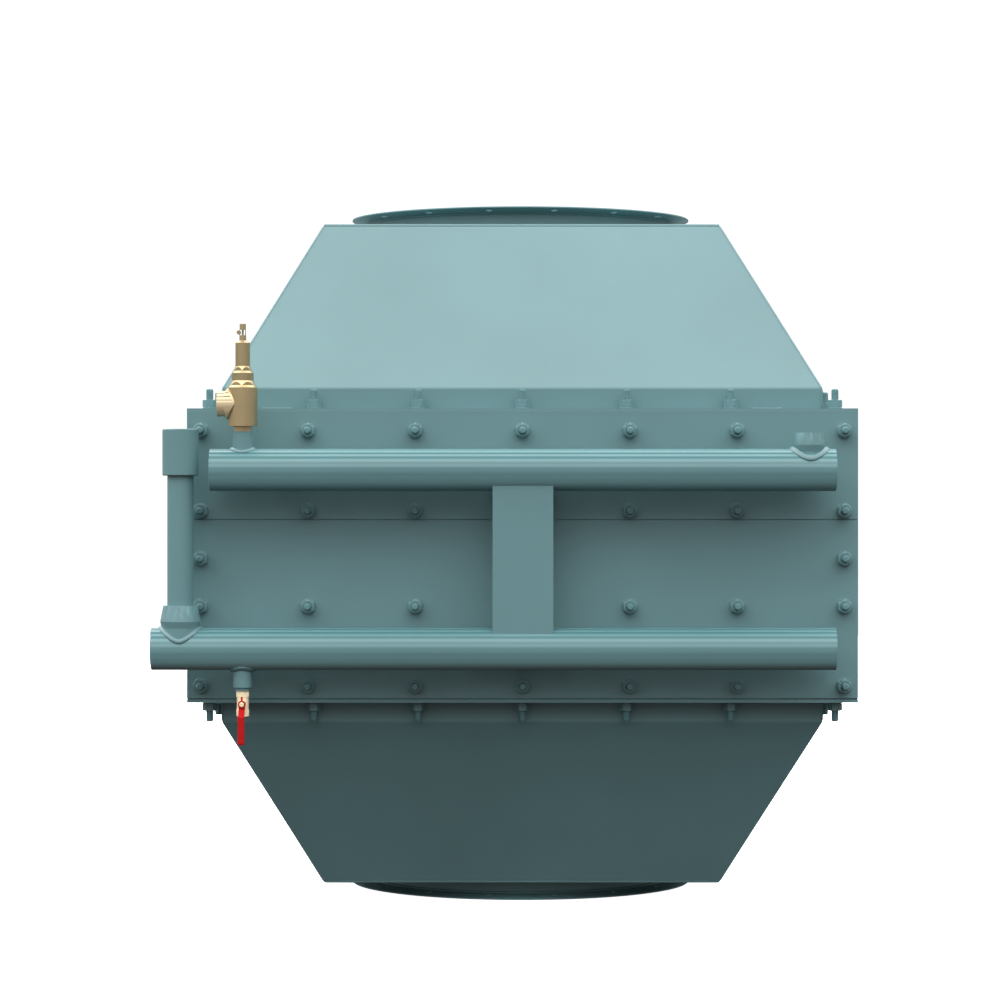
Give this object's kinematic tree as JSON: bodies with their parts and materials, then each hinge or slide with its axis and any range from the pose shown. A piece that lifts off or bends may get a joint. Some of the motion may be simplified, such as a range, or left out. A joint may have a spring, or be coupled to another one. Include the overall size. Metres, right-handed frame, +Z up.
{
  "type": "rectangular flue gas economizer",
  "caption": "Square bolted casing with a finned tube bank, a hood with a round flue mouth below and above, front water headers, relief valve and drain valve.",
  "frame": {"origin": "centre of the lower flue ring's face, which the unit stands on", "axes": "+Z up through both flue mouths, -Y out of the front with the headers, +X to the right seen from the front"},
  "size_m": [1.4965, 1.6236, 1.548],
  "materials": {
    "casing_paint": "satin blue-green paint",
    "piping_paint": "satin blue-green paint",
    "tube_steel": "dull mill steel",
    "bronze": "machined bronze",
    "valve_brass": "bright brass",
    "lever_red": "red dipped coating"
  },
  "bodies": {
    "casing": {"lower_ring": "casing_paint", "lower_collar": "casing_paint", "lower_end_plate": "casing_paint", "lower_hood_front": "casing_paint", "lower_hood_rear": "casing_paint", "lower_hood_sides": "casing_paint", "lower_flange": "casing_paint", "upper_ring": "casing_paint", "upper_collar": "casing_paint", "upper_end_plate": "casing_paint", "upper_hood_front": "casing_paint", "upper_hood_rear": "casing_paint", "upper_hood_sides": "casing_paint", "upper_flange": "casing_paint", "side_walls": "casing_paint", "side_flanges": "casing_paint", "front_tubesheet": "casing_paint", "rear_tubesheet": "casing_paint", "front_box": "casing_paint", "rear_box": "casing_paint", "front_upper_cover": "casing_paint", "front_lower_cover": "casing_paint", "rear_upper_cover": "casing_paint", "rear_lower_cover": "casing_paint", "front_cover_studs": "casing_paint", "rear_cover_studs": "casing_paint", "tubes_bottom_row": "tube_steel", "tubes_middle_rows": "tube_steel", "tubes_top_row": "tube_steel", "upper_header": "piping_paint", "lower_header": "piping_paint", "header_caps": "piping_paint", "upper_stubs": "piping_paint", "lower_stubs": "piping_paint", "post_upper": "piping_paint", "post_lower": "piping_paint", "inlet_fitting": "piping_paint", "riser_pipe": "piping_paint", "riser_coupling": "piping_paint", "outlet_fitting": "piping_paint", "relief_coupling": "piping_paint", "relief_body": "bronze", "relief_bonnet": "bronze", "drain_coupling": "piping_paint", "drain_nipple": "piping_paint", "drain_valve": "valve_brass"},
    "drain_handle": {"drain_stem": "valve_brass", "drain_lever": "lever_red"}
  },
  "joints": [
    {"name": "drain_turn", "type": "hinge", "parent": "casing", "child": "drain_handle", "pos_m": [-0.589, -0.815, 0.46375], "axis": [0, 1, 0], "range_deg": [0, 90]}
  ]
}
